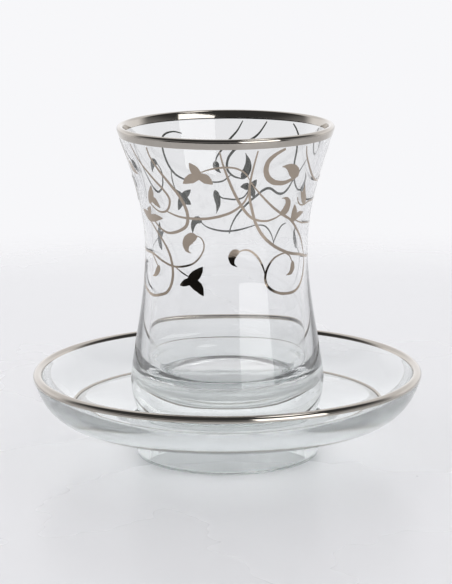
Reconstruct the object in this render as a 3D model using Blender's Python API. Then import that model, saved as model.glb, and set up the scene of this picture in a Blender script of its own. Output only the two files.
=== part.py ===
"""Tea glass with a pinched waist, standing in its footed glass saucer.

Metres, +Z up. The saucer's foot stands on z = 0, both pieces are turned about the Z axis,
and the front of the vine ornament faces -Y. The glass is modelled from its own foot upwards
and hangs on an empty that stands on the saucer's well.
"""

from math import cos, pi, radians, sin, tau

import bmesh
import bpy
import numpy as np
from mathutils import Vector
from mathutils.geometry import delaunay_2d_cdt, interpolate_bezier

# Saucer
SAUCER_RADIUS = 0.0556
SAUCER_HEIGHT = 0.0244
SAUCER_LIP_WALL = 0.0026
SAUCER_LIP_LEAN = radians(15)
WELL_HEIGHT = 0.0114
KNEE_INSET = 0.0113
KNEE_RISE = 0.0033
WALL_ROOT_INSET = 0.0096
WALL_ROOT_RISE = 0.0031
FOOT_RADIUS = 0.0263
FOOT_HEIGHT = 0.0085
FOOT_WALL = 0.0044
FOOT_RECESS = 0.0077
FOOT_DRAFT = 0.0006
FOOT_EDGE = 0.0005
FOOT_FILLET = 0.0017

# Shares of the saucer wall's rise and spread that shape its curve
WALL_LIP_PULL = 0.65
WALL_ROOT_PULL = 0.36
KNEE_PULL = 0.05
FILLET_FULLNESS = 0.6

# Tea glass, heights from its own foot
GLASS_HEIGHT = 0.0835
RIM_RADIUS = 0.0305
WAIST_RADIUS = 0.0232
WAIST_HEIGHT = 0.0476
BASE_RADIUS = 0.0278
BASE_HEIGHT = 0.0106
GLASS_FOOT_RADIUS = 0.0248
STANDING_RING = 0.0052
PUNT_DEPTH = 0.0012
LIP_WALL = 0.0018
LIP_LEAN = radians(17)
WAIST_WALL = 0.0020
BELLY_WALL = 0.0047
FLOOR_HEIGHT = 0.0111
FLOOR_CORNER = 0.006

# Shares of the heights and widths between lip, waist and base that shape the glass's curves
FLARE_LIP_PULL = 0.28
FLARE_WAIST_PULL = 0.41
BELLY_WAIST_PULL = 0.35
BELLY_BASE_PULL = 0.23
BELLY_BASE_LEAN = 0.13
BASE_FOOT_OUT = 0.62
BASE_FOOT_UP = 0.13
BASE_SIDE_PULL = 0.33
PUNT_CROWN = 0.4
PUNT_SHOULDER = 0.7
PUNT_SHOULDER_DEPTH = 0.5

# Platinum film
FILM_GAP = 0.0002
FILM_THICKNESS = 0.0002
GLASS_BAND_OUTSIDE = 0.0025
GLASS_BAND_INSIDE = 0.0021
SAUCER_BAND_OUTSIDE = 0.0018
SAUCER_BAND_INSIDE = 0.0015
WELL_LINE_SHARE = 0.02
VINE_CLEARANCE = 0.0005
VINE_UNIT = 0.001
STEM_STEP = 0.005
STEM_TURN = radians(28)
STEM_FINENESS = 6
LEAF_STATIONS = 6
STEM_END = 0.38
STEM_MIDDLE = 0.8
LEAF_SWELL = 0.62
PETAL_SWELL = 0.85
PETAL_FULLNESS = 0.75
PETAL_OVERLAP = 0.35
LEAF_POINT = 0.0002
PATH_PULL = 1 / 6
INSIDE_OUTLINES = 1

# How the pieces stand and how finely they are turned
REST_GAP = 0.0003
SEAT_CLEARANCE = 0.0012
TURN_STEPS = 48
CURVE_STEPS = 5
LIP_STEPS = 4
FILLET_STEPS = 3
MERGE_DISTANCE = 0.000001
SMOOTH_ANGLE = radians(35)

# Colours and finishes
CLEAR_COLOUR = (0.95, 0.97, 0.97)
SAUCER_COLOUR = (0.93, 0.96, 0.95)
PLATINUM_COLOUR = (0.60, 0.57, 0.53)
GLASS_ROUGHNESS = 0.02
PLATINUM_ROUGHNESS = 0.20


def clear_scene():
    for item in list(bpy.data.objects):
        bpy.data.objects.remove(item)


def finish_material(name, colour, roughness, metallic, transmission):
    material = bpy.data.materials.new(name)
    material.use_nodes = True
    shader = material.node_tree.nodes["Principled BSDF"]
    shader.inputs["Base Color"].default_value = (*colour, 1.0)
    shader.inputs["Roughness"].default_value = roughness
    shader.inputs["Metallic"].default_value = metallic
    shader.inputs["Transmission Weight"].default_value = transmission
    return material


def clear_glass():
    return finish_material("clear_glass", CLEAR_COLOUR, GLASS_ROUGHNESS, metallic=0.0, transmission=1.0)


def saucer_glass():
    return finish_material("saucer_glass", SAUCER_COLOUR, GLASS_ROUGHNESS, metallic=0.0, transmission=1.0)


def platinum():
    return finish_material("platinum", PLATINUM_COLOUR, PLATINUM_ROUGHNESS, metallic=1.0, transmission=0.0)


def place(name, bm, material, parent=None):
    mesh = bpy.data.meshes.new(name)
    bm.to_mesh(mesh)
    bm.free()
    mesh.shade_smooth()
    mesh.set_sharp_from_angle(angle=SMOOTH_ANGLE)
    mesh.materials.append(material)
    item = bpy.data.objects.new(name, mesh)
    item.parent = parent
    bpy.context.collection.objects.link(item)
    return item


# Profiles are lists of 2-D vectors: distance from the axis, then height.


def curve(start, start_handle, end_handle, end, steps=CURVE_STEPS):
    return [Vector(point) for point in interpolate_bezier(start, start_handle, end_handle, end, steps + 1)]


def arc(centre, radius, first, last, steps):
    angles = [first + (last - first) * step / steps for step in range(steps + 1)]
    return [centre + radius * Vector((cos(angle), sin(angle))) for angle in angles]


def lip_arc(radius, height, wall, lean):
    """Round the lip from its outer side to its inner side."""
    centre = Vector((radius - wall / 2, height - wall / 2))
    return arc(centre, wall / 2, -lean, pi - lean, LIP_STEPS)


def radius_at(profile, height):
    rising = sorted(profile, key=lambda point: point.y)
    return float(np.interp(height, [point.y for point in rising], [point.x for point in rising]))


def offset(path, distance):
    """The path moved sideways, to the right of its direction."""
    moved = []
    for index, point in enumerate(path):
        before = path[max(index - 1, 0)]
        after = path[min(index + 1, len(path) - 1)]
        along = (after - before).normalized()
        moved.append(point + distance * Vector((along.y, -along.x)))
    return moved


def turned(name, profile, material, closed=False, parent=None):
    """Turn a profile once round the Z axis."""
    bm = bmesh.new()
    verts = [bm.verts.new((point.x, 0.0, point.y)) for point in profile]
    edges = [bm.edges.new(pair) for pair in zip(verts, verts[1:])]
    if closed:
        edges.append(bm.edges.new((verts[-1], verts[0])))
    bmesh.ops.spin(bm, geom=verts + edges, cent=(0, 0, 0), axis=(0, 0, 1), angle=tau,
                   steps=TURN_STEPS, use_merge=True)
    bmesh.ops.remove_doubles(bm, verts=bm.verts, dist=MERGE_DISTANCE)
    bmesh.ops.recalc_face_normals(bm, faces=bm.faces)
    return place(name, bm, material, parent)


def film_ring(name, path, material, parent=None):
    """A film round the whole piece, on the side of the path that faces the air."""
    loop = offset(path, FILM_GAP + FILM_THICKNESS) + offset(path, FILM_GAP)[::-1]
    return turned(name, loop, material, closed=True, parent=parent)


def rim_band(name, outer_wall, lip, inner_wall, outside, inside, material, parent=None):
    """A film folded over a lip, down both of its sides."""
    top = max(point.y for point in lip)
    outer_end = Vector((radius_at(outer_wall, top - outside), top - outside))
    inner_end = Vector((radius_at(inner_wall, top - inside), top - inside))
    return film_ring(name, [outer_end, *lip, inner_end], material, parent)


# Saucer


def saucer_lip():
    return lip_arc(SAUCER_RADIUS, SAUCER_HEIGHT, SAUCER_LIP_WALL, SAUCER_LIP_LEAN)


def saucer_wall(top, root, plate, pull):
    """The upturned wall, from the lip down to the root where it leaves the rising plate."""
    rise = top.y - root.y
    spread = top.x - root.x
    down = Vector((-sin(SAUCER_LIP_LEAN), -cos(SAUCER_LIP_LEAN)))
    out = (root - plate).normalized()
    return curve(top, top + WALL_LIP_PULL * rise * down, root + pull * spread * out, root)


def saucer_outer_wall():
    root = Vector((SAUCER_RADIUS - WALL_ROOT_INSET, FOOT_HEIGHT + WALL_ROOT_RISE))
    return saucer_wall(saucer_lip()[0], root, saucer_foot()[-1], WALL_ROOT_PULL)


def saucer_inner_wall():
    knee = Vector((SAUCER_RADIUS - KNEE_INSET, WELL_HEIGHT + KNEE_RISE))
    return saucer_wall(saucer_lip()[-1], knee, well_edge(), KNEE_PULL)


def well_edge():
    """Where the flat that the glass stands on turns into the rising plate."""
    return Vector((GLASS_FOOT_RADIUS + SEAT_CLEARANCE, WELL_HEIGHT))


def fillet(corner, start, end):
    start_handle = start.lerp(corner, FILLET_FULLNESS)
    return curve(start, start_handle, end.lerp(corner, FILLET_FULLNESS), end, FILLET_STEPS)


def saucer_foot():
    """The foot ring and the recess inside it, from the axis out to the plate."""
    inner = FOOT_RADIUS - FOOT_WALL
    recess_corner = Vector((inner - FOOT_DRAFT, FOOT_RECESS))
    plate_corner = Vector((FOOT_RADIUS + FOOT_DRAFT, FOOT_HEIGHT))
    out = Vector((FOOT_FILLET, 0.0))
    down = Vector((0.0, -FOOT_FILLET))
    return [
        Vector((0.0, FOOT_RECESS)),
        *fillet(recess_corner, recess_corner - out, recess_corner + down),
        Vector((inner, FOOT_EDGE)),
        Vector((inner + FOOT_EDGE, 0.0)),
        Vector((FOOT_RADIUS - FOOT_EDGE, 0.0)),
        Vector((FOOT_RADIUS, FOOT_EDGE)),
        *fillet(plate_corner, plate_corner + down, plate_corner + out),
    ]


def saucer_profile():
    return [
        *saucer_foot(),
        *saucer_outer_wall()[::-1],
        *saucer_lip()[1:-1],
        *saucer_inner_wall(),
        well_edge(),
        Vector((0.0, WELL_HEIGHT)),
    ]


def build_saucer(metal):
    turned("saucer", saucer_profile(), saucer_glass())
    rim_band("saucer_rim_band", saucer_outer_wall(), saucer_lip(), saucer_inner_wall(),
             SAUCER_BAND_OUTSIDE, SAUCER_BAND_INSIDE, metal)
    above_knee, knee = saucer_inner_wall()[-2:]
    film_ring("saucer_well_line", [above_knee, knee.lerp(well_edge(), WELL_LINE_SHARE)], metal)


# Tea glass


def glass_lip():
    return lip_arc(RIM_RADIUS, GLASS_HEIGHT, LIP_WALL, LIP_LEAN)


def pinched_wall(top, waist, base):
    """The hourglass side, from the lip through the waist to the belly."""
    upper = top.y - waist.y
    lower = waist.y - base.y
    down = Vector((-sin(LIP_LEAN), -cos(LIP_LEAN)))
    above_waist = waist + Vector((0.0, FLARE_WAIST_PULL * upper))
    below_waist = waist - Vector((0.0, BELLY_WAIST_PULL * lower))
    above_base = base + Vector((-BELLY_BASE_LEAN * (base.x - waist.x), BELLY_BASE_PULL * lower))
    flare = curve(top, top + FLARE_LIP_PULL * upper * down, above_waist, waist)
    belly = curve(waist, below_waist, above_base, base)
    return flare + belly[1:]


def glass_outer_wall():
    waist = Vector((WAIST_RADIUS, WAIST_HEIGHT))
    return pinched_wall(glass_lip()[0], waist, Vector((BASE_RADIUS, BASE_HEIGHT)))


def glass_inner_wall():
    waist = Vector((WAIST_RADIUS - WAIST_WALL, WAIST_HEIGHT))
    base = Vector((BASE_RADIUS - BELLY_WALL, FLOOR_HEIGHT + FLOOR_CORNER))
    return pinched_wall(glass_lip()[-1], waist, base)


def glass_base():
    """The solid base, from the axis underneath out and up to its widest point."""
    ring_inner = GLASS_FOOT_RADIUS - STANDING_RING
    foot = Vector((GLASS_FOOT_RADIUS, 0.0))
    widest = Vector((BASE_RADIUS, BASE_HEIGHT))
    swell = BASE_RADIUS - GLASS_FOOT_RADIUS
    above_foot = foot + Vector((BASE_FOOT_OUT * swell, BASE_FOOT_UP * BASE_HEIGHT))
    below_widest = widest - Vector((0.0, BASE_SIDE_PULL * BASE_HEIGHT))
    crown = Vector((PUNT_CROWN * ring_inner, PUNT_DEPTH))
    shoulder = Vector((PUNT_SHOULDER * ring_inner, PUNT_SHOULDER_DEPTH * PUNT_DEPTH))
    punt = curve(Vector((0.0, PUNT_DEPTH)), crown, shoulder, Vector((ring_inner, 0.0)), FILLET_STEPS)
    return punt + curve(foot, above_foot, below_widest, widest)


def glass_profile():
    inner_wall = glass_inner_wall()
    corner_centre = inner_wall[-1] - Vector((FLOOR_CORNER, 0.0))
    return [
        *glass_base(),
        *glass_outer_wall()[::-1][1:],
        *glass_lip()[1:-1],
        *inner_wall,
        *arc(corner_centre, FLOOR_CORNER, 0.0, -pi / 2, FILLET_STEPS)[1:],
        Vector((0.0, FLOOR_HEIGHT)),
    ]


def build_glass(seat, metal):
    turned("tea_glass", glass_profile(), clear_glass(), parent=seat)
    rim_band("glass_rim_band", glass_outer_wall(), glass_lip(), glass_inner_wall(),
             GLASS_BAND_OUTSIDE, GLASS_BAND_INSIDE, metal, parent=seat)


# Vine ornament. A point is degrees round from the front, towards +X, and steps of VINE_UNIT
# below the rim band; a width is in the same steps.


def stem(width, *points):
    return (stem_law, width, points)


def leaf(width, *points):
    return (leaf_law, width, points)


def petal(width, *points):
    return (petal_law, width, points)


def beyond(heart, middle):
    """A little past the heart, so that the petals overlap there."""
    return tuple(start + PETAL_OVERLAP * (start - end) for start, end in zip(heart, middle))


def trefoil(width, heart, *tips):
    """Petals that spread from one heart; each tip comes with the middle of its petal."""
    return [petal(width, beyond(heart, middle), middle, tip) for middle, tip in tips]


def stem_law(share):
    return STEM_END + (STEM_MIDDLE - STEM_END) * sin(pi * share)


def leaf_law(share):
    return sin(pi * share ** LEAF_SWELL)


def petal_law(share):
    return sin(pi * share ** PETAL_SWELL) ** PETAL_FULLNESS


def front_vine():
    return [
        stem(0.9, (-62, 0), (-57, 4.5), (-48, 9), (-41, 12), (-37.5, 14.8), (-41, 17.9), (-48, 18.7),
             (-55, 17.5), (-58, 16.1)),
        petal(2.4, (-58.4, 16.9), (-54, 14), (-51.8, 11.4)),
        petal(2.2, (-58.4, 15), (-52.5, 15.6), (-47.3, 17.6)),
        stem(1.2, (-46.5, 0), (-45.5, 2.8), (-41, 6.5), (-35, 10.1), (-30, 13.1), (-26.5, 16.5),
             (-25.5, 19.3), (-27.5, 22), (-34, 23.7), (-42, 24.5), (-49, 23.8), (-56, 21.8)),
        *trefoil(2.2, (-62, 21.6), ((-54, 20.8), (-46.5, 20.6)), ((-61, 19.4), (-58, 17.8)),
                 ((-66, 20.3), (-71, 19.5))),
        stem(1.1, (-62, 21.8), (-52, 25.8), (-46, 28.5), (-42, 31.5), (-40, 35.3), (-40.8, 38.8),
             (-44.5, 41.4), (-51, 42.6), (-60, 43.3), (-70, 42.6), (-80, 41), (-87, 38)),
        leaf(2.3, (-85.5, 39), (-86.5, 35.8), (-81, 35.4)),
        stem(0.5, (-64, 31.5), (-60, 33), (-54.8, 35.2)),
        leaf(2.0, (-54.3, 34.4), (-55.5, 35.8), (-58.5, 37.3), (-62.5, 38)),
        stem(0.8, (-112, 30.6), (-98, 31.4), (-84, 31.9), (-72, 31.6), (-62, 31.6), (-50, 33), (-40, 33.9),
             (-31, 33.6), (-23, 32.4), (-17.5, 30), (-15.2, 27.4), (-17, 25.2), (-21.5, 24.4)),
        leaf(3.0, (-19.8, 24.8), (-24.8, 25.3), (-28.2, 27), (-27.9, 28.9), (-25, 29.6)),
        *trefoil(2.3, (-111, 30.6), ((-116.5, 30.2), (-121, 29.6)), ((-114, 28.4), (-115.5, 26.4)),
                 ((-114.5, 32.6), (-117.5, 34.6))),
        stem(0.5, (-38, 34), (-31, 35.6), (-25, 36.6)),
        *trefoil(2.9, (-26, 37.3), ((-20.6, 35.4), (-16.5, 33.3)), ((-20.4, 38.8), (-15.8, 41.4))),
        petal(2.1, (-24, 37.2), (-29, 38.1), (-33.6, 39)),
        *trefoil(2.7, (-15.6, 7.2), ((-18, 5.2), (-20.2, 3.4)), ((-20.4, 8), (-25.8, 9.5)),
                 ((-12.2, 7.8), (-7.6, 9.4))),
        stem(0.7, (-16, 6.4), (-8, 5), (0, 4.5), (6, 4.9), (11, 6.4), (14, 8.6)),
        stem(1.0, (-42.5, 18.1), (-33, 19.3), (-24, 19.6), (-14, 19.5), (-5, 18.8), (3, 17.6), (9, 15.8),
             (12.5, 13.6), (14.2, 10.3)),
        stem(1.0, (-3.2, 0), (-1.5, 3.8), (2, 8.8), (6, 13), (11, 16.8), (16, 19.2), (21.5, 20.3), (28, 20.6),
             (34, 20), (39, 19)),
        stem(1.1, (17, 0), (15.3, 4.8), (14, 9.8), (14.6, 13.8), (16.5, 17.1), (19.5, 21), (25, 24.7),
             (32, 27.4), (40.5, 29.5), (50, 31), (62, 32.1), (76, 33.6), (92, 34.2), (104, 33)),
        leaf(2.6, (103, 33.1), (108.5, 31.8), (111, 29.4), (108, 27.2)),
        stem(0.9, (14.2, 8.8), (18, 11.1), (24, 14), (31, 16.8), (39, 19.2), (48, 21.4), (56, 24.5),
             (63, 27.6), (67.5, 30.8), (69.5, 33)),
        leaf(2.5, (37, 19.2), (41.4, 18.2), (42.8, 16.2), (40.6, 14.7), (37, 14.5)),
        petal(2.4, (49.6, 22.1), (50.4, 19.6), (49.4, 17)),
        petal(1.9, (49.6, 22), (54.6, 20.4), (61.6, 19.9)),
        stem(0.6, (49, 21), (60, 22.8), (68, 23.4), (78, 24), (90, 24.5)),
        leaf(2.2, (9.2, 28.9), (5.4, 29.3), (3.6, 30.7), (4.3, 32.3), (7.2, 33.2)),
        stem(0.8, (8.4, 29), (12, 28.5), (16, 28.8), (20, 30), (23.3, 31.7), (26, 34), (27.4, 36.1)),
        stem(1.0, (46, 30.6), (40, 30.8), (34, 31.8), (29.5, 34), (27.4, 36.6), (28.3, 38.8), (32, 40.4),
             (38, 41.6), (45, 42.1), (53, 42), (60, 40.8), (66, 38.4), (69.5, 35.5), (70.5, 33.2)),
        stem(0.5, (45, 30.8), (49.5, 31.8), (52.3, 33.8)),
        leaf(1.9, (52.6, 33.3), (52.6, 35.1), (50.2, 36.5), (45.6, 37)),
    ]


def right_scroll():
    return [
        stem(2.0, (33, 0), (28, 1.2), (24, 3), (22.8, 5.5), (25, 8.1), (30, 9.6), (37, 9.9), (45, 8.8)),
        leaf(3.4, (46.8, 8.7), (43, 7.2), (39.5, 5.9), (36, 5.2), (33, 5.2)),
    ]


def right_tendril():
    return [stem(0.8, (47.8, 0), (50, 2.8), (55, 6), (62, 9.2), (70, 11.2), (80, 12), (88, 11))]


def right_curl():
    return [
        stem(0.7, (90, 17.4), (78, 17.5), (68, 17.2), (59, 17.7), (53.5, 16.8), (51, 15)),
        leaf(2.4, (62, 17.4), (57.8, 15), (56.3, 11.6)),
        leaf(1.8, (60, 16.4), (56, 14.6), (53.2, 13.4)),
    ]


def right_side_scroll():
    return [
        stem(0.9, (113, 0), (110, 3.6), (104, 6.4), (98, 6.6), (94.5, 4.6)),
        leaf(2.2, (94.3, 5), (96.5, 3), (101, 2.8)),
    ]


def back_vine():
    return [
        stem(1.0, (137.5, 0), (134, 1.5), (130, 4), (127.8, 7.5), (127.3, 10.5), (125, 13.8), (121, 16.3),
             (115, 17.6), (109, 17.2)),
        leaf(2.4, (110.5, 17.5), (105.8, 16.3), (105, 14), (108.5, 12.4)),
        stem(0.9, (113, 9), (118, 12.2), (124, 15), (128, 17.6), (133, 19.4), (139, 19.7), (146, 18.6),
             (151, 19), (156, 20.6), (162, 22.6), (168, 25), (173, 27.5), (176.5, 30.3), (177.6, 32.2)),
        *trefoil(2.0, (162.5, 18.7), ((165.5, 18.4), (169.5, 18.6)), ((160, 17.8), (157.8, 16.4)),
                 ((160.5, 19.8), (158.8, 21.6))),
        stem(0.7, (157, 29.4), (166, 30.6), (174, 31.3), (182, 31.4), (190, 30.8), (196, 29.8), (200, 28.4)),
        leaf(2.2, (199, 28.6), (203.2, 27.8), (206.4, 29.2), (207, 31.8)),
        stem(0.6, (126, 27.6), (132, 28.8), (137, 31.6), (140.3, 34.2)),
        stem(0.6, (139.5, 34.2), (143, 31.3), (149, 29.4), (158, 29.5)),
        stem(0.6, (162.5, 18.7), (166, 21.2), (172, 22.2), (180, 22), (184, 21.5), (187.8, 19.8)),
        leaf(2.0, (188, 19.4), (186, 23.4), (187.4, 26.2)),
    ]


def back_scroll():
    return [
        stem(1.0, (155.5, 0), (160, 3.6), (167, 6.1), (174, 8), (178.6, 10.8), (178.8, 13.8), (174.5, 15.6),
             (168, 16.3)),
        leaf(2.6, (168.8, 16.4), (165.4, 13.8), (164.8, 11.6), (167, 9)),
        stem(0.6, (176, 15), (182, 16.9), (189, 17.2), (194, 16.6)),
    ]


def back_tendril():
    return [
        stem(0.8, (170, 0), (173, 2.8), (177, 5), (182, 7.8), (186, 10.2), (187, 12)),
        leaf(2.0, (187.2, 11.2), (186, 13.4), (183.5, 14.6)),
    ]


def back_left_scroll():
    return [
        stem(0.9, (207, 3.1), (213, 2.4), (220, 3.2), (224, 6.3), (222.5, 11), (217.5, 14.2), (210, 16),
             (203, 16.6)),
        stem(0.5, (220.5, 12.6), (221, 16), (219, 19.2)),
        *trefoil(2.2, (214.5, 20.9), ((210, 20), (206.5, 19)), ((210.5, 22.2), (207.2, 23.2)),
                 ((216.5, 22.6), (219, 24.4))),
        leaf(1.8, (213, 21), (216.5, 20), (220.3, 18.2)),
    ]


def left_side_scroll():
    return [
        stem(0.9, (-104, 0), (-102, 4.8), (-106, 10.8), (-113, 15.8), (-121, 18.3), (-128, 16.8), (-130, 13),
             (-126.5, 10.2)),
        leaf(2.4, (-127.5, 10.4), (-122.5, 10.2), (-119, 12.6)),
    ]


def left_side_curl():
    return [
        stem(0.9, (-90, 0), (-93, 5), (-97, 10), (-96, 15), (-90, 18), (-84, 16.5), (-82.5, 13.5)),
        leaf(2.4, (-82.3, 14.4), (-84.5, 11.4), (-89.5, 11.6)),
    ]


def left_tendril():
    return [
        stem(0.7, (-84, 0), (-80, 3.6), (-72, 6.8)),
        leaf(2.4, (-75, 5.8), (-68.5, 8), (-63.5, 8.7)),
    ]


SPRAYS = (
    front_vine, right_scroll, right_tendril, right_curl, right_side_scroll, back_vine,
    back_scroll, back_tendril, back_left_scroll, left_side_scroll, left_side_curl, left_tendril,
)


def smooth_path(points):
    """Points close together on a curve through the given ones."""
    path = []
    last = len(points) - 1
    for index in range(last):
        start = points[index]
        end = points[index + 1]
        before = points[max(index - 1, 0)]
        after = points[min(index + 2, last)]
        start_handle = start + PATH_PULL * (end - before)
        end_handle = end - PATH_PULL * (after - start)
        path += interpolate_bezier(start, start_handle, end_handle, end, STEM_FINENESS + 1)[:-1]
    return [Vector(point) for point in path] + [points[-1]]


def lengths_along(path):
    lengths = [0.0]
    for start, end in zip(path, path[1:]):
        lengths.append(lengths[-1] + (end - start).length)
    return lengths


def even_stations(path, count):
    """Points at equal lengths along a path."""
    lengths = lengths_along(path)
    wanted = [lengths[-1] * station / (count - 1) for station in range(count)]
    across = np.interp(wanted, lengths, [point.x for point in path])
    height = np.interp(wanted, lengths, [point.y for point in path])
    return [Vector(pair) for pair in zip(across.tolist(), height.tolist())]


def turning_stations(path):
    """The points of a path that its bends need, and one at least every STEM_STEP."""
    kept = [path[0]]
    heading = path[1] - path[0]
    for point, after in zip(path[1:], path[2:]):
        turn = heading.angle(after - point)
        if turn > STEM_TURN or (after - kept[-1]).length > STEM_STEP:
            kept.append(point)
            heading = after - point
    return kept + [path[-1]]


def stroke_outline(stroke, girth, top):
    """The closed outline of a stroke on the wall, unrolled at the waist."""
    law, width, points = stroke
    flat = [Vector((radians(around) * WAIST_RADIUS, top - below * VINE_UNIT)) for around, below in points]
    path = smooth_path(flat)
    path = turning_stations(path) if law is stem_law else even_stations(path, LEAF_STATIONS)
    lengths = lengths_along(path)
    right = []
    left = []
    for index, point in enumerate(path):
        stretch = girth(point.y) / WAIST_RADIUS
        along = path[min(index + 1, len(path) - 1)] - path[max(index - 1, 0)]
        along = Vector((along.x * stretch, along.y)).normalized()
        half = max(width * VINE_UNIT * law(lengths[index] / lengths[-1]), LEAF_POINT) / 2
        side = Vector((along.y * half / stretch, -along.x * half))
        right.append(point + side)
        left.append(point - side)
    return right + left[::-1], path[1:-1]


def film(name, strokes, material, parent):
    """One island of film: the strokes' outlines joined on the unrolled wall, then wrapped round it."""
    wall = glass_outer_wall()
    top = GLASS_HEIGHT - GLASS_BAND_OUTSIDE - VINE_CLEARANCE
    coords = []
    faces = []
    for stroke in strokes:
        outline, middle = stroke_outline(stroke, lambda height: radius_at(wall, height), top)
        faces.append(list(range(len(coords), len(coords) + len(outline))))
        coords += outline + middle
    flat, _, triangles, _, _, owners = delaunay_2d_cdt(coords, [], faces, INSIDE_OUTLINES, MERGE_DISTANCE)
    bm = bmesh.new()
    wrapped = {}
    for triangle, owner in zip(triangles, owners):
        if not owner:
            continue
        for corner in triangle:
            if corner not in wrapped:
                radius = radius_at(wall, flat[corner].y) + FILM_GAP
                around = flat[corner].x / WAIST_RADIUS
                wrapped[corner] = bm.verts.new((radius * sin(around), -radius * cos(around), flat[corner].y))
        bm.faces.new([wrapped[corner] for corner in triangle])
    outer = bmesh.ops.extrude_face_region(bm, geom=bm.faces[:])["geom"]
    for vert in outer:
        if isinstance(vert, bmesh.types.BMVert):
            outward = Vector((vert.co.x, vert.co.y, 0.0)).normalized()
            vert.co += FILM_THICKNESS * outward
    bmesh.ops.recalc_face_normals(bm, faces=bm.faces)
    return place(name, bm, material, parent)


def build_vine(seat, metal):
    for spray in SPRAYS:
        film(spray.__name__, spray(), metal, seat)


def glass_seat():
    """The empty that the glass stands on, on the axis along which it lifts out."""
    seat = bpy.data.objects.new("glass_seat", None)
    seat.location = (0.0, 0.0, WELL_HEIGHT + REST_GAP)
    bpy.context.collection.objects.link(seat)
    return seat


def main():
    clear_scene()
    metal = platinum()
    build_saucer(metal)
    seat = glass_seat()
    build_glass(seat, metal)
    build_vine(seat, metal)


main()
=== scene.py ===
"""Tea glass with a pinched waist in its footed saucer: the finished look.

An add-on that turns the clear glass and its saucer, folds platinum over both lips, draws a line round
the saucer's well, wraps the vine ornament round the glass and sets everything on a pale floor under
soft light. Metres, +Z up; the front of the vine faces -Y.
"""

from math import cos, pi, radians, sin, tau
from random import Random

import bmesh
import bpy
import numpy as np
from bpy.props import FloatProperty, FloatVectorProperty, PointerProperty
from mathutils import Matrix, Vector
from mathutils.geometry import delaunay_2d_cdt, interpolate_bezier


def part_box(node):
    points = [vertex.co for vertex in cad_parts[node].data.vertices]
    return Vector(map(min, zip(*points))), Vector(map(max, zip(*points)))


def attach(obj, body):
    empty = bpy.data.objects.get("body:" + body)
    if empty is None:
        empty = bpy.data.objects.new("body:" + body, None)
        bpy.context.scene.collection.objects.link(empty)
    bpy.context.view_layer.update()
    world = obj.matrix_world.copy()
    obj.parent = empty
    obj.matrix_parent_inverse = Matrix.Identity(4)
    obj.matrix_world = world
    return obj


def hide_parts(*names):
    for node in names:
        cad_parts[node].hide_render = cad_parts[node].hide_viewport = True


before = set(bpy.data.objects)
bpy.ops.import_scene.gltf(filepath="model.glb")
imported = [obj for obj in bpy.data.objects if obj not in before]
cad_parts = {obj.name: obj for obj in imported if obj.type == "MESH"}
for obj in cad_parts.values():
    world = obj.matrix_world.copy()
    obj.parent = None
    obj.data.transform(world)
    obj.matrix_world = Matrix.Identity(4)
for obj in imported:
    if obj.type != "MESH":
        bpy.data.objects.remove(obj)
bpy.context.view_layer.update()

bl_info = {
    "name": "Tea Glass and Saucer",
    "version": (1, 0, 0),
    "blender": (4, 5, 0),
    "location": "3D View > Sidebar > Tea Glass",
    "description": "Turns a pinched tea glass and its saucer, with banded lips and a vine round the glass",
    "category": "Object",
}

# What the frame gives
GLASS_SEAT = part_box("tea_glass")[0].z
GLASS_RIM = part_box("glass_rim_band")[1]
SAUCER_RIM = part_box("saucer_rim_band")[1]
FILM_PROUD = 0.00005

# How finely the pieces are turned and cut
TURN_STEPS = 144
CURVE_STEPS = 20
LIP_STEPS = 12
FILLET_STEPS = 8
MERGE_DISTANCE = 0.000001
SMOOTH_ANGLE = radians(40)

# Shares that shape the saucer's wall and foot
WALL_LIP_PULL = 0.65
WALL_ROOT_PULL = 0.36
KNEE_PULL = 0.05
FILLET_FULLNESS = 0.6

# Shares that shape the glass's flare, belly and base
FLARE_LIP_PULL = 0.28
FLARE_WAIST_PULL = 0.41
BELLY_WAIST_PULL = 0.35
BELLY_BASE_PULL = 0.23
BELLY_BASE_LEAN = 0.13
BASE_FOOT_OUT = 0.62
BASE_FOOT_UP = 0.13
BASE_SIDE_PULL = 0.33
PUNT_CROWN = 0.4
PUNT_SHOULDER = 0.7
PUNT_SHOULDER_DEPTH = 0.5

# The vine's strokes
VINE_UNIT = 0.001
PATH_PULL = 1 / 6
PATH_FINENESS = 12
STROKE_STEP = 0.0005
LEAST_STATIONS = 4
STEM_END = 0.38
STEM_MIDDLE = 0.8
LEAF_SWELL = 0.62
PETAL_SWELL = 0.85
PETAL_FULLNESS = 0.75
PETAL_OVERLAP = 0.35
LEAF_POINT = 0.0002
INSIDE_OUTLINES = 1
RAGGED_SEED = 7

# Glass: its depth of colour, its polish and the share of mirrored rays that pass straight out
GLASS_IOR = 1.51
GLASS_DENSITY = 4.0
GLASS_LEAK = 0.06
SAUCER_DENSITY = 24.0
SAUCER_LEAK = 0.22
RIPPLE_SCALE = 38.0
RIPPLE_STRENGTH = 0.015
RIPPLE_HEIGHT = 0.0006
HANDLING_SCALE = 120.0
HANDLED = (0.985, 0.99, 0.99, 1.0)
UNTOUCHED = (1.0, 1.0, 1.0, 1.0)
HANDLED_ROUGHNESS = 0.012
HANDLING_START = 0.45
HANDLING_END = 0.75

# Platinum: mottled patches, and a fine grain over them
MOTTLE_SCALE = 260.0
GRAIN_SCALE = 2600.0
PLATINUM_ROUGHNESS = 0.03
MOTTLE_ROUGHNESS = 0.06
GRAIN_ROUGHNESS = 0.03
GRAIN_STRENGTH = 0.12
GRAIN_HEIGHT = 0.00002
UNDERSIDE_SHADE = 0.7
UNDERSIDE_ROUGHNESS = 0.18
UNDERSIDE_MOTTLE = 0.1

# Tabletop
FLOOR_STEPS = 128
CLOUD_SCALE = 9.0
CLOUD_SHADE = 0.96
FLOOR_ROUGHNESS = 0.22
CLOUD_ROUGHNESS = 0.1
FLOOR_SHINE = 0.3

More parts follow.
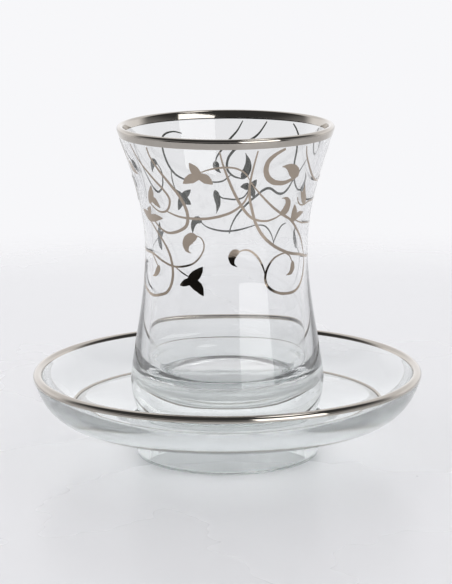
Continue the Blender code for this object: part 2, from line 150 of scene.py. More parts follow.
# Light: strengths, where 1 is white, and what else the metal mirrors and the glass shows
LIT = 1.05
LIT_THROUGH_GLASS = 1.8
DARK_BELOW = 0.015
ROOM = 0.3
CEILING_DROP = 0.25
BRIGHT_BACK = 1.0
LOW_SIDES = 0.6
CLEAR = 0.88
CLEAR_CEILING_DROP = 0.1

# Light: where each part of the room starts and ends, as a share of a direction's length
HORIZON = (0.0, 0.06)
CEILING = (0.25, 0.45)
BACK = (0.2, 0.55)
SIDES = (0.88, 0.96)

# Lamps: place, width and height, power in watts
WINDOW = ((0.72, -0.96, 0.36), (0.95, 0.85), 7.0)
ROOF_LIGHT = ((0.33, -0.1, 0.95), (0.3, 0.3), 0.8)
LAMP_AIM = 0.05

# The camera
SENSOR = 0.036
MILLIMETRES = 1000


def length(name, description, default):
    return FloatProperty(name=name, description=description, default=default, min=0.0, precision=5,
                         unit="LENGTH", subtype="DISTANCE")


def lean(name, description, default):
    return FloatProperty(name=name, description=description, default=radians(default), subtype="ANGLE")


def share(name, description, default):
    return FloatProperty(name=name, description=description, default=default, min=0.0, max=1.0)


def colour(name, description, default):
    return FloatVectorProperty(name=name, description=description, default=default, size=3, min=0.0, max=1.0,
                               subtype="COLOR")


class TEASET_PG_saucer(bpy.types.PropertyGroup):
    radius: length("Lip radius", "From the axis to the outside of the lip", SAUCER_RIM.x - FILM_PROUD)
    height: length("Height", "From the table to the top of the lip", SAUCER_RIM.z - FILM_PROUD)
    lip_wall: length("Lip thickness", "Thickness of the rounded lip", 0.0026)
    lip_lean: lean("Lip lean", "How far the wall leans out at the lip", 15)
    well: length("Well height", "From the table to the face that the glass stands on", 0.0114)
    well_radius: length("Well radius", "Out to where the flat in the middle starts to rise", 0.026)
    well_edge: length("Well edge", "Rounding where the flat starts to rise", 0.002)
    knee_radius: length("Knee radius", "Where the wall turns up inside", 0.0443)
    knee_height: length("Knee height", "Height of the turn inside", 0.0147)
    root_radius: length("Wall root radius", "Where the wall turns up underneath", 0.046)
    root_height: length("Wall root height", "Height of the turn underneath", 0.0116)
    foot_radius: length("Foot radius", "From the axis to the outside of the foot ring", 0.0263)
    foot_height: length("Foot height", "From the table to the underside of the plate", 0.0085)
    foot_wall: length("Foot thickness", "Thickness of the foot ring", 0.0044)
    foot_recess: length("Foot recess", "Depth of the hollow inside the foot ring", 0.0077)
    foot_draft: length("Foot draft", "How far the ring widens towards the plate", 0.0006)
    foot_edge: length("Foot edge", "Rounding of the ring's standing edges", 0.0005)
    foot_fillet: length("Foot fillet", "Rounding between ring and plate", 0.0017)


class TEASET_PG_glass(bpy.types.PropertyGroup):
    radius: length("Rim radius", "From the axis to the outside of the lip", GLASS_RIM.x - FILM_PROUD)
    height: length("Height", "From its own foot to the top of the lip", GLASS_RIM.z - FILM_PROUD - GLASS_SEAT)
    lip_wall: length("Lip thickness", "Thickness of the rounded lip", 0.0018)
    lip_lean: lean("Lip lean", "How far the wall flares out at the lip", 17)
    waist_radius: length("Waist radius", "Outside radius at the pinch", 0.0232)
    waist_height: length("Waist height", "Height of the pinch above the foot", 0.0476)
    waist_wall: length("Waist thickness", "Wall at the pinch", 0.0020)
    base_radius: length("Base radius", "Outside radius at the widest part of the base", 0.0278)
    base_height: length("Base height", "Height of the widest part of the base", 0.0106)
    belly_wall: length("Belly thickness", "Wall just above the base", 0.0047)
    foot_radius: length("Foot radius", "Out to the edge that the base stands on", 0.0248)
    standing_ring: length("Standing ring", "Width of the flat that the base stands on", 0.0052)
    punt: length("Punt depth", "Depth of the hollow under the base", 0.0012)
    floor: length("Floor height", "From the foot to the floor inside", 0.0111)
    floor_corner: length("Floor corner", "Rounding between floor and wall inside", 0.006)


class TEASET_PG_film(bpy.types.PropertyGroup):
    proud: length("Proud", "How far the film stands off the glass", FILM_PROUD)
    sunk: length("Sunk", "How far the film's underside lies in the glass", 0.00003)
    glass_outside: length("Glass band outside", "Band below the glass's lip, outside", 0.0028)
    glass_inside: length("Glass band inside", "Band below the glass's lip, inside", 0.0021)
    saucer_outside: length("Saucer band outside", "Band below the saucer's lip, outside", 0.0017)
    saucer_inside: length("Saucer band inside", "Band below the saucer's lip, inside", 0.0011)
    vine_clearance: length("Vine clearance", "Bare glass between the band and the vine", 0.00055)
    line_above: length("Well line above", "Width of the well line on the wall, above the knee", 0.0009)
    line_below: length("Well line below", "Width of the well line on the plate, below the knee", 0.0004)
    ragged: share("Ragged edge", "How unevenly the vine was printed, as a share of its width", 0.06)


class TEASET_PG_look(bpy.types.PropertyGroup):
    glass: colour("Glass tint", "Colour that the thick glass takes on", (0.78, 0.87, 0.85))
    saucer: colour("Saucer tint", "Colour that the thick saucer takes on", (0.74, 0.87, 0.835))
    platinum: colour("Platinum", "Fired platinum on the outside", (0.47, 0.40, 0.33))
    platinum_dull: colour("Dull platinum", "Platinum where the print is thin", (0.41, 0.345, 0.28))
    # The bands' platinum is the vine's platinum made lighter and greyer: painted sheen standing in for the
    # brighter reflections and highlights that the bands catch.
    band: colour("Band", "Thicker platinum of the bands and the line", (0.52, 0.485, 0.44))
    band_dull: colour("Dull band", "Platinum of the bands where it is worn", (0.46, 0.425, 0.38))
    underside: colour("Platinum underside", "Platinum seen through the glass", (0.11, 0.115, 0.105))
    floor: colour("Floor", "Pale tabletop", (0.77, 0.77, 0.78))
    backdrop: colour("Backdrop", "Pale background above the floor", (0.93, 0.93, 0.95))


class TEASET_PG_stage(bpy.types.PropertyGroup):
    camera_back: length("Camera distance", "From the axis back to the camera", 0.682)
    camera_height: length("Camera height", "From the table up to the camera", 0.1923)
    camera_side: FloatProperty(name="Camera side", description="Camera's place beside the axis",
                               default=-0.0002, precision=5, unit="LENGTH")
    camera_tilt: lean("Camera tilt", "How far the camera looks down", 12.03)
    camera_roll: lean("Camera roll", "How far the camera leans", -0.4)
    camera_lens: FloatProperty(name="Lens", description="Focal length", default=0.1499, precision=5,
                               unit="LENGTH")
    floor_radius: length("Floor radius", "Out to where the floor starts to fade", 0.24)
    floor_fade: length("Floor fade", "Width of the fade at the floor's edge", 0.12)
    floor_front: length("Floor front", "From the axis forward to the tabletop's front edge", 0.235)


class TEASET_PG_set(bpy.types.PropertyGroup):
    saucer: PointerProperty(type=TEASET_PG_saucer)
    glass: PointerProperty(type=TEASET_PG_glass)
    film: PointerProperty(type=TEASET_PG_film)
    look: PointerProperty(type=TEASET_PG_look)
    stage: PointerProperty(type=TEASET_PG_stage)


# Node maths


class Signal:
    """A number from a node. Arithmetic on it adds Math nodes."""

    def __init__(self, finish, socket):
        self.finish = finish
        self.socket = socket

    def math(self, operation, first, second):
        return self.finish.node("ShaderNodeMath", {"operation": operation}, {0: first, 1: second})

    def __add__(self, other):
        return self.math("ADD", self, other)

    def __radd__(self, other):
        return self.math("ADD", other, self)

    def __sub__(self, other):
        return self.math("SUBTRACT", self, other)

    def __rsub__(self, other):
        return self.math("SUBTRACT", other, self)

    def __mul__(self, other):
        return self.math("MULTIPLY", self, other)

    def __rmul__(self, other):
        return self.math("MULTIPLY", other, self)


class Finish:
    """A node tree that is written as expressions."""

    def __init__(self, owner):
        owner.use_nodes = True
        self.owner = owner
        self.tree = owner.node_tree
        self.tree.nodes.clear()

    def node(self, kind, settings=None, sockets=None, output=0):
        made = self.tree.nodes.new(kind)
        for key, value in (settings or {}).items():
            setattr(made, key, value)
        for key, value in (sockets or {}).items():
            if isinstance(value, Signal):
                self.tree.links.new(value.socket, made.inputs[key])
            else:
                made.inputs[key].default_value = value
        return Signal(self, made.outputs[output] if made.outputs else None)

    def place(self):
        return self.node("ShaderNodeTexCoord", output="Object")

    def axis(self, vector, name):
        return self.node("ShaderNodeSeparateXYZ", sockets={0: vector}, output=name)

    def ray(self, name):
        return self.node("ShaderNodeLightPath", output=name)

    def noise(self, vector, scale, detail=2.0):
        return self.node("ShaderNodeTexNoise", sockets={"Vector": vector, "Scale": scale, "Detail": detail})

    def blend(self, factor, first, second):
        return self.node("ShaderNodeMix", {"data_type": "RGBA"}, {0: factor, 6: first, 7: second}, output=2)

    def ramp(self, value, start, end):
        """0 below start, 1 above end and a soft step between them."""
        return self.node("ShaderNodeMapRange", {"interpolation_type": "SMOOTHSTEP"},
                         {"Value": value, "From Min": start, "From Max": end})

    def bump(self, height, strength, distance):
        sockets = {"Height": height, "Strength": strength, "Distance": distance}
        return self.node("ShaderNodeBump", sockets=sockets)

    def surface(self, shader, volume=None):
        ends = {"Surface": shader}
        if volume:
            ends["Volume"] = volume
        self.node("ShaderNodeOutputMaterial", sockets=ends)
        return self.owner


def opaque(rgb):
    return (*rgb, 1.0)


# Materials


def glass_finish(name, tint, density, leak):
    """Clear pressed glass: faint ripples, a trace of handling on the polish and a green cast in its depth."""
    finish = Finish(bpy.data.materials.new(name))
    place = finish.place()
    ripples = finish.noise(place, RIPPLE_SCALE, 1.0)
    handling = finish.noise(place, HANDLING_SCALE, 3.0)
    shader = finish.node("ShaderNodeBsdfPrincipled", sockets={
        "Base Color": finish.blend(handling, HANDLED, UNTOUCHED),
        "Roughness": HANDLED_ROUGHNESS * finish.ramp(handling, HANDLING_START, HANDLING_END),
        "IOR": GLASS_IOR,
        "Transmission Weight": 1.0,
        "Normal": finish.bump(ripples, RIPPLE_STRENGTH, RIPPLE_HEIGHT),
    })
    depth = finish.node("ShaderNodeVolumeAbsorption", sockets={"Color": opaque(tint), "Density": density})
    mirrored = finish.ray("Is Reflection Ray")
    open_way = finish.node("ShaderNodeBsdfTransparent")
    mixed = finish.node("ShaderNodeMixShader", sockets={0: leak * mirrored, 1: shader, 2: open_way})
    return finish.surface(mixed, depth)


def platinum_finish(name, bright, dull):
    """Fired platinum on the outside of the glass: warm grey, a little mottled and brushed."""
    finish = Finish(bpy.data.materials.new(name))
    place = finish.place()
    mottle = finish.noise(place, MOTTLE_SCALE, 3.0)
    grain = finish.noise(place, GRAIN_SCALE, 1.0)
    shader = finish.node("ShaderNodeBsdfPrincipled", sockets={
        "Base Color": finish.blend(mottle, opaque(dull), opaque(bright)),
        "Metallic": 1.0,
        "Roughness": PLATINUM_ROUGHNESS + MOTTLE_ROUGHNESS * mottle + GRAIN_ROUGHNESS * grain,
        "Normal": finish.bump(grain, GRAIN_STRENGTH, GRAIN_HEIGHT),
    })
    return finish.surface(shader)


def underside_finish(look):
    """The platinum's face against the glass: darker and duller."""
    finish = Finish(bpy.data.materials.new("platinum_underside"))
    mottle = finish.noise(finish.place(), MOTTLE_SCALE, 3.0)
    dark = [part * UNDERSIDE_SHADE for part in look.underside]
    shader = finish.node("ShaderNodeBsdfPrincipled", sockets={
        "Base Color": finish.blend(mottle, opaque(dark), opaque(look.underside)),
        "Metallic": 1.0,
        "Roughness": UNDERSIDE_ROUGHNESS + UNDERSIDE_MOTTLE * mottle,
    })
    return finish.surface(shader)


def floor_finish(look, stage):
    """A pale tabletop with a soft shine, which fades into the background at its edge."""
    finish = Finish(bpy.data.materials.new("pale_floor"))
    place = finish.place()
    cloud = finish.noise(place, CLOUD_SCALE, 4.0)
    shade = [CLOUD_SHADE * part for part in look.floor]
    top = finish.node("ShaderNodeBsdfPrincipled", sockets={
        "Base Color": finish.blend(cloud, opaque(shade), opaque(look.floor)),
        "Roughness": FLOOR_ROUGHNESS + CLOUD_ROUGHNESS * cloud,
        "Specular IOR Level": FLOOR_SHINE,
    })
    distance = finish.node("ShaderNodeVectorMath", {"operation": "LENGTH"}, {0: place}, output="Value")
    fade = finish.ramp(distance, stage.floor_radius, stage.floor_radius + stage.floor_fade)
    clear = finish.node("ShaderNodeBsdfTransparent")
    return finish.surface(finish.node("ShaderNodeMixShader", sockets={0: fade, 1: top, 2: clear}))


def studio_light(look):
    """Even white light, raised where it comes through glass to stand in for the light that glass gathers.

    What shines mirrors a bright back, a dim room in front and the dark below the table's edge.
    """
    world = bpy.data.worlds.new("studio")
    world.cycles.sampling_method = "NONE"
    finish = Finish(world)
    direction = finish.node("ShaderNodeTexCoord", output="Generated")
    aside = finish.node("ShaderNodeMath", {"operation": "ABSOLUTE"}, {0: finish.axis(direction, "X")})
    towards_back = finish.axis(direction, "Y")
    upwards = finish.axis(direction, "Z")
    above = finish.ramp(upwards, *HORIZON)
    ceiling = finish.ramp(upwards, *CEILING)
    back = finish.ramp(towards_back, *BACK)
    sides = finish.ramp(aside, *SIDES)
    room = above * (ROOM - CEILING_DROP * ceiling)
    shine = DARK_BELOW + room + BRIGHT_BACK * back + LOW_SIDES * sides * (1.0 - above)
    clear = CLEAR - CLEAR_CEILING_DROP * ceiling
    camera = finish.ray("Is Camera Ray")
    through = finish.ray("Is Transmission Ray")
    mirrored = finish.ray("Is Glossy Ray") * (1.0 - through)
    lit = finish.node("ShaderNodeMath", {"operation": "MINIMUM"}, {0: finish.ray("Diffuse Depth"), 1: 1.0})
    seen = camera + mirrored * shine + through * clear
    strength = lit * (LIT + LIT_THROUGH_GLASS * through) + (1.0 - lit) * seen
    light = finish.node("ShaderNodeBackground", sockets={"Color": opaque(look.backdrop), "Strength": strength})
    finish.node("ShaderNodeOutputWorld", sockets={"Surface": light})
    return world


# Profiles are lists of 2-D vectors: distance from the axis, then height.


def bend(start, start_handle, end_handle, end, steps=CURVE_STEPS):
    return [Vector(point) for point in interpolate_bezier(start, start_handle, end_handle, end, steps + 1)]


def arc(centre, radius, first, last, steps):
    angles = [first + (last - first) * step / steps for step in range(steps + 1)]
    return [centre + radius * Vector((cos(angle), sin(angle))) for angle in angles]


def lip(sizes, foot=0.0):
    """Round the lip from its outer side to its inner side."""
    centre = Vector((sizes.radius - sizes.lip_wall / 2, foot + sizes.height - sizes.lip_wall / 2))
    return arc(centre, sizes.lip_wall / 2, -sizes.lip_lean, pi - sizes.lip_lean, LIP_STEPS)


def radius_at(wall, height):
    rising = wall[::-1]
    return float(np.interp(height, [point.y for point in rising], [point.x for point in rising]))


def offset(path, distance):
    """The path moved sideways, to the right of its direction."""
    moved = []
    for index, point in enumerate(path):
        before = path[max(index - 1, 0)]
        after = path[min(index + 1, len(path) - 1)]
        along = (after - before).normalized()
        moved.append(point + distance * Vector((along.y, -along.x)))
    return moved


def saucer_wall(sizes, top, root, plate, pull):
    """The upturned wall, from the lip down to its root, where it runs on into the plate."""
    rise = top.y - root.y
    spread = top.x - root.x
    down = Vector((-sin(sizes.lip_lean), -cos(sizes.lip_lean)))
    out = (root - plate).normalized()
    return bend(top, top + WALL_LIP_PULL * rise * down, root + pull * spread * out, root)


def saucer_outside(sizes):
    root = Vector((sizes.root_radius, sizes.root_height))
    return saucer_wall(sizes, lip(sizes)[0], root, saucer_foot(sizes)[-1], WALL_ROOT_PULL)


def saucer_inside(sizes):
    knee = Vector((sizes.knee_radius, sizes.knee_height))
    return saucer_wall(sizes, lip(sizes)[-1], knee, Vector((sizes.well_radius, sizes.well)), KNEE_PULL)


def fillet(corner, start, end):
    start_handle = start.lerp(corner, FILLET_FULLNESS)
    return bend(start, start_handle, end.lerp(corner, FILLET_FULLNESS), end, FILLET_STEPS)


def saucer_foot(sizes):
    """The foot ring and the recess inside it, from the axis out to the plate."""
    inner = sizes.foot_radius - sizes.foot_wall
    edge = sizes.foot_edge
    out = Vector((sizes.foot_fillet, 0.0))
    down = Vector((0.0, -sizes.foot_fillet))
    recess_corner = Vector((inner - sizes.foot_draft, sizes.foot_recess))
    plate_corner = Vector((sizes.foot_radius + sizes.foot_draft, sizes.foot_height))
    inner_edge = Vector((inner, 0.0))
    outer_edge = Vector((sizes.foot_radius, 0.0))
    return [
        Vector((0.0, sizes.foot_recess)),
        *fillet(recess_corner, recess_corner - out, recess_corner + down),
        *fillet(inner_edge, inner_edge + Vector((0.0, edge)), inner_edge + Vector((edge, 0.0))),
        *fillet(outer_edge, outer_edge - Vector((edge, 0.0)), outer_edge + Vector((0.0, edge))),
        *fillet(plate_corner, plate_corner + down, plate_corner + out),
    ]


def saucer_well(sizes):
    """The inside of the plate, from the wall's knee in to the axis."""
    edge = Vector((sizes.well_radius, sizes.well))
    out = (Vector((sizes.knee_radius, sizes.knee_height)) - edge).normalized()
    inwards = Vector((-sizes.well_edge, 0.0))
    return [*fillet(edge, edge + sizes.well_edge * out, edge + inwards), Vector((0.0, sizes.well))]


def saucer_profile(sizes):
    return [
        *saucer_foot(sizes),
        *saucer_outside(sizes)[::-1],
        *lip(sizes)[1:-1],
        *saucer_inside(sizes),
        *saucer_well(sizes),
    ]


def pinched_wall(sizes, top, waist, base):
    """The hourglass side, from the lip through the waist to the belly."""
    upper = top.y - waist.y
    lower = waist.y - base.y
    down = Vector((-sin(sizes.lip_lean), -cos(sizes.lip_lean)))
    above_waist = waist + Vector((0.0, FLARE_WAIST_PULL * upper))
    below_waist = waist - Vector((0.0, BELLY_WAIST_PULL * lower))
    above_base = base + Vector((-BELLY_BASE_LEAN * (base.x - waist.x), BELLY_BASE_PULL * lower))
    flare = bend(top, top + FLARE_LIP_PULL * upper * down, above_waist, waist)
    belly = bend(waist, below_waist, above_base, base)
    return flare + belly[1:]


def glass_outside(sizes):
    waist = Vector((sizes.waist_radius, GLASS_SEAT + sizes.waist_height))
    base = Vector((sizes.base_radius, GLASS_SEAT + sizes.base_height))
    return pinched_wall(sizes, lip(sizes, GLASS_SEAT)[0], waist, base)


def glass_inside(sizes):
    waist = Vector((sizes.waist_radius - sizes.waist_wall, GLASS_SEAT + sizes.waist_height))
    base = Vector((sizes.base_radius - sizes.belly_wall, GLASS_SEAT + sizes.floor + sizes.floor_corner))
    return pinched_wall(sizes, lip(sizes, GLASS_SEAT)[-1], waist, base)


def glass_base(sizes):
    """The solid base, from the axis underneath out and up to its widest point."""
    ring_inner = sizes.foot_radius - sizes.standing_ring
    foot = Vector((sizes.foot_radius, GLASS_SEAT))
    widest = Vector((sizes.base_radius, GLASS_SEAT + sizes.base_height))
    swell = sizes.base_radius - sizes.foot_radius
    above_foot = foot + Vector((BASE_FOOT_OUT * swell, BASE_FOOT_UP * sizes.base_height))
    below_widest = widest - Vector((0.0, BASE_SIDE_PULL * sizes.base_height))
    top = GLASS_SEAT + sizes.punt
    shoulder = Vector((PUNT_SHOULDER * ring_inner, GLASS_SEAT + PUNT_SHOULDER_DEPTH * sizes.punt))
    punt = bend(Vector((0.0, top)), Vector((PUNT_CROWN * ring_inner, top)), shoulder,
                Vector((ring_inner, GLASS_SEAT)), FILLET_STEPS)
    return punt + bend(foot, above_foot, below_widest, widest)


def glass_profile(sizes):
    inside = glass_inside(sizes)
    corner_centre = inside[-1] - Vector((sizes.floor_corner, 0.0))
    return [
        *glass_base(sizes),
        *glass_outside(sizes)[::-1][1:],
        *lip(sizes, GLASS_SEAT)[1:-1],
        *inside,
        *arc(corner_centre, sizes.floor_corner, 0.0, -pi / 2, FILLET_STEPS)[1:],
        Vector((0.0, GLASS_SEAT + sizes.floor)),
    ]


# Pieces


def finish_piece(name, bm, materials, body, slot, *nodes):
    """Makes an object of the mesh, which rides on a body and stands for its nodes."""
    if any(not edge.is_manifold for edge in bm.edges):
        raise RuntimeError(f"{name} isn't closed")
    mesh = bpy.data.meshes.new(name)
    bm.to_mesh(mesh)
    bm.free()
    mesh.shade_smooth()
    mesh.set_sharp_from_angle(angle=SMOOTH_ANGLE)
    for material in materials:
        mesh.materials.append(material)
    piece = bpy.data.objects.new(name, mesh)
    bpy.context.scene.collection.objects.link(piece)
    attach(piece, body)
    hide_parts(*nodes)
    return piece


def turned(profile, closed=False):
    """A profile turned once round the Z axis."""
    bm = bmesh.new()
    verts = [bm.verts.new((point.x, 0.0, point.y)) for point in profile]
    edges = [bm.edges.new(pair) for pair in zip(verts, verts[1:])]
    if closed:
        edges.append(bm.edges.new((verts[-1], verts[0])))
    bmesh.ops.spin(bm, geom=verts + edges, cent=(0, 0, 0), axis=(0, 0, 1), angle=tau, steps=TURN_STEPS,
                   use_merge=True)
    bmesh.ops.remove_doubles(bm, verts=bm.verts, dist=MERGE_DISTANCE)
    bmesh.ops.recalc_face_normals(bm, faces=bm.faces)
    return bm


def folded_band(outer_wall, fold, inner_wall, outside, inside, film):
    """A film folded over a lip, down both of its sides."""
    top = max(point.y for point in fold)
    outer_end = Vector((radius_at(outer_wall, top - outside), top - outside))
    inner_end = Vector((radius_at(inner_wall, top - inside), top - inside))
    return film_ring([outer_end, *fold, inner_end], film)


def film_ring(path, film):
    """A film round the whole piece, on the side of the path that faces the air."""
    return turned(offset(path, film.proud) + offset(path, -film.sunk)[::-1], closed=True)


def well_line(sizes, film):
    """A narrow film along the knee, where the plate turns up into the wall."""
    wall = saucer_inside(sizes)
    knee = wall[-1]
    path = [point for point in wall if point.x < knee.x + film.line_above]
    inwards = (Vector((sizes.well_radius, sizes.well)) - knee).normalized()
    return film_ring([*path, knee + film.line_below * inwards], film)


# The vine. A point is degrees round from the front, towards +X, and steps of VINE_UNIT below the
# glass's rim band; a width is in the same steps.


def stem(width, *points):
    return (stem_law, width, points)


def leaf(width, *points):
    return (leaf_law, width, points)


def petal(width, *points):
    return (petal_law, width, points)


def beyond(heart, middle):
    """A little past the heart, so that the petals overlap there."""
    return tuple(start + PETAL_OVERLAP * (start - end) for start, end in zip(heart, middle))


def trefoil(width, heart, *tips):
    """Petals that spread from one heart; each tip comes with the middle of its petal."""
    return [petal(width, beyond(heart, middle), middle, tip) for middle, tip in tips]


def stem_law(along):
    return STEM_END + (STEM_MIDDLE - STEM_END) * sin(pi * along)


def leaf_law(along):
    return sin(pi * along ** LEAF_SWELL)


def petal_law(along):
    return sin(pi * along ** PETAL_SWELL) ** PETAL_FULLNESS


def front_vine():
    return [
        stem(0.9, (-62, 0), (-57, 4.5), (-48, 9), (-41, 12), (-37.5, 14.8), (-41, 17.9), (-48, 18.7),
             (-55, 17.5), (-58, 16.1)),
        petal(2.4, (-58.4, 16.9), (-54, 14), (-51.8, 11.4)),
        petal(2.2, (-58.4, 15), (-52.5, 15.6), (-47.3, 17.6)),
        stem(1.2, (-46.5, 0), (-45.5, 2.8), (-41, 6.5), (-35, 10.1), (-30, 13.1), (-26.5, 16.5),
             (-25.5, 19.3), (-27.5, 22), (-34, 23.7), (-42, 24.5), (-49, 23.8), (-56, 21.8)),
        *trefoil(2.2, (-62, 21.6), ((-54, 20.8), (-46.5, 20.6)), ((-61, 19.4), (-58, 17.8)),
                 ((-66, 20.3), (-71, 19.5))),
        stem(1.1, (-62, 21.8), (-52, 25.8), (-46, 28.5), (-42, 31.5), (-40, 35.3), (-40.8, 38.8),
             (-44.5, 41.4), (-51, 42.6), (-60, 43.3), (-70, 42.6), (-80, 41), (-87, 38)),
        leaf(2.3, (-85.5, 39), (-86.5, 35.8), (-81, 35.4)),
        stem(0.5, (-64, 31.5), (-60, 33), (-54.8, 35.2)),
        leaf(2.0, (-54.3, 34.4), (-55.5, 35.8), (-58.5, 37.3), (-62.5, 38)),
        stem(0.8, (-112, 30.6), (-98, 31.4), (-84, 31.9), (-72, 31.6), (-62, 31.6), (-50, 33), (-40, 33.9),
             (-31, 33.6), (-23, 32.4), (-17.5, 30), (-15.2, 27.4), (-17, 25.2), (-21.5, 24.4)),
        leaf(3.0, (-19.8, 24.8), (-24.8, 25.3), (-28.2, 27), (-27.9, 28.9), (-25, 29.6)),
        *trefoil(2.3, (-111, 30.6), ((-116.5, 30.2), (-121, 29.6)), ((-114, 28.4), (-115.5, 26.4)),
                 ((-114.5, 32.6), (-117.5, 34.6))),
        stem(0.5, (-38, 34), (-31, 35.6), (-25, 36.6)),
        *trefoil(2.9, (-26, 37.3), ((-20.6, 35.4), (-16.5, 33.3)), ((-20.4, 38.8), (-15.8, 41.4))),
        petal(2.1, (-24, 37.2), (-29, 38.1), (-33.6, 39)),
        *trefoil(2.7, (-15.6, 7.2), ((-18, 5.2), (-20.2, 3.4)), ((-20.4, 8), (-25.8, 9.5)),
                 ((-12.2, 7.8), (-7.6, 9.4))),
        stem(0.7, (-16, 6.4), (-8, 5), (0, 4.5), (6, 4.9), (11, 6.4), (14, 8.6)),
        stem(1.0, (-42.5, 18.1), (-33, 19.3), (-24, 19.6), (-14, 19.5), (-5, 18.8), (3, 17.6), (9, 15.8),
             (12.5, 13.6), (14.2, 10.3)),
        stem(1.0, (-3.2, 0), (-1.5, 3.8), (2, 8.8), (6, 13), (11, 16.8), (16, 19.2), (21.5, 20.3), (28, 20.6),
             (34, 20), (39, 19)),
        stem(1.1, (17, 0), (15.3, 4.8), (14, 9.8), (14.6, 13.8), (16.5, 17.1), (19.5, 21), (25, 24.7),
             (32, 27.4), (40.5, 29.5), (50, 31), (62, 32.1), (76, 33.6), (92, 34.2), (104, 33)),
        leaf(2.6, (103, 33.1), (108.5, 31.8), (111, 29.4), (108, 27.2)),
        stem(0.9, (14.2, 8.8), (18, 11.1), (24, 14), (31, 16.8), (39, 19.2), (48, 21.4), (56, 24.5),
             (63, 27.6), (67.5, 30.8), (69.5, 33)),
        leaf(2.5, (37, 19.2), (41.4, 18.2), (42.8, 16.2), (40.6, 14.7), (37, 14.5)),
        petal(2.4, (49.6, 22.1), (50.4, 19.6), (49.4, 17)),
        petal(1.9, (49.6, 22), (54.6, 20.4), (61.6, 19.9)),
        stem(0.6, (49, 21), (60, 22.8), (68, 23.4), (78, 24), (90, 24.5)),
        leaf(2.2, (9.2, 28.9), (5.4, 29.3), (3.6, 30.7), (4.3, 32.3), (7.2, 33.2)),
        stem(0.8, (8.4, 29), (12, 28.5), (16, 28.8), (20, 30), (23.3, 31.7), (26, 34), (27.4, 36.1)),
        stem(1.0, (46, 30.6), (40, 30.8), (34, 31.8), (29.5, 34), (27.4, 36.6), (28.3, 38.8), (32, 40.4),
             (38, 41.6), (45, 42.1), (53, 42), (60, 40.8), (66, 38.4), (69.5, 35.5), (70.5, 33.2)),
        stem(0.5, (45, 30.8), (49.5, 31.8), (52.3, 33.8)),
        leaf(1.9, (52.6, 33.3), (52.6, 35.1), (50.2, 36.5), (45.6, 37)),
    ]


def right_scroll():
    return [
        stem(2.0, (33, 0), (28, 1.2), (24, 3), (22.8, 5.5), (25, 8.1), (30, 9.6), (37, 9.9), (45, 8.8)),
        leaf(3.4, (46.8, 8.7), (43, 7.2), (39.5, 5.9), (36, 5.2), (33, 5.2)),
    ]


def right_tendril():
    return [stem(0.8, (47.8, 0), (50, 2.8), (55, 6), (62, 9.2), (70, 11.2), (80, 12), (88, 11))]


def right_curl():
    return [
        stem(0.7, (90, 17.4), (78, 17.5), (68, 17.2), (59, 17.7), (53.5, 16.8), (51, 15)),
        leaf(2.4, (62, 17.4), (57.8, 15), (56.3, 11.6)),
        leaf(1.8, (60, 16.4), (56, 14.6), (53.2, 13.4)),
    ]


def right_side_scroll():
    return [
        stem(0.9, (113, 0), (110, 3.6), (104, 6.4), (98, 6.6), (94.5, 4.6)),
        leaf(2.2, (94.3, 5), (96.5, 3), (101, 2.8)),
    ]


def back_vine():
    return [
        stem(1.0, (137.5, 0), (134, 1.5), (130, 4), (127.8, 7.5), (127.3, 10.5), (125, 13.8), (121, 16.3),
             (115, 17.6), (109, 17.2)),
        leaf(2.4, (110.5, 17.5), (105.8, 16.3), (105, 14), (108.5, 12.4)),
        stem(0.9, (113, 9), (118, 12.2), (124, 15), (128, 17.6), (133, 19.4), (139, 19.7), (146, 18.6),
             (151, 19), (156, 20.6), (162, 22.6), (168, 25), (173, 27.5), (176.5, 30.3), (177.6, 32.2)),
        *trefoil(2.0, (162.5, 18.7), ((165.5, 18.4), (169.5, 18.6)), ((160, 17.8), (157.8, 16.4)),
                 ((160.5, 19.8), (158.8, 21.6))),
        stem(0.7, (157, 29.4), (166, 30.6), (174, 31.3), (182, 31.4), (190, 30.8), (196, 29.8), (200, 28.4)),
        leaf(2.2, (199, 28.6), (203.2, 27.8), (206.4, 29.2), (207, 31.8)),
        stem(0.6, (126, 27.6), (132, 28.8), (137, 31.6), (140.3, 34.2)),
        stem(0.6, (139.5, 34.2), (143, 31.3), (149, 29.4), (158, 29.5)),
        stem(0.6, (162.5, 18.7), (166, 21.2), (172, 22.2), (180, 22), (184, 21.5), (187.8, 19.8)),
        leaf(2.0, (188, 19.4), (186, 23.4), (187.4, 26.2)),
    ]


def back_scroll():
    return [
        stem(1.0, (155.5, 0), (160, 3.6), (167, 6.1), (174, 8), (178.6, 10.8), (178.8, 13.8), (174.5, 15.6),
             (168, 16.3)),
        leaf(2.6, (168.8, 16.4), (165.4, 13.8), (164.8, 11.6), (167, 9)),
        stem(0.6, (176, 15), (182, 16.9), (189, 17.2), (194, 16.6)),
    ]


def back_tendril():
    return [
        stem(0.8, (170, 0), (173, 2.8), (177, 5), (182, 7.8), (186, 10.2), (187, 12)),
        leaf(2.0, (187.2, 11.2), (186, 13.4), (183.5, 14.6)),
    ]


def back_left_scroll():
    return [
        stem(0.9, (207, 3.1), (213, 2.4), (220, 3.2), (224, 6.3), (222.5, 11), (217.5, 14.2), (210, 16),
             (203, 16.6)),
        stem(0.5, (220.5, 12.6), (221, 16), (219, 19.2)),
        *trefoil(2.2, (214.5, 20.9), ((210, 20), (206.5, 19)), ((210.5, 22.2), (207.2, 23.2)),
                 ((216.5, 22.6), (219, 24.4))),
        leaf(1.8, (213, 21), (216.5, 20), (220.3, 18.2)),
    ]


def left_side_scroll():
    return [
        stem(0.9, (-104, 0), (-102, 4.8), (-106, 10.8), (-113, 15.8), (-121, 18.3), (-128, 16.8), (-130, 13),
             (-126.5, 10.2)),
        leaf(2.4, (-127.5, 10.4), (-122.5, 10.2), (-119, 12.6)),
    ]


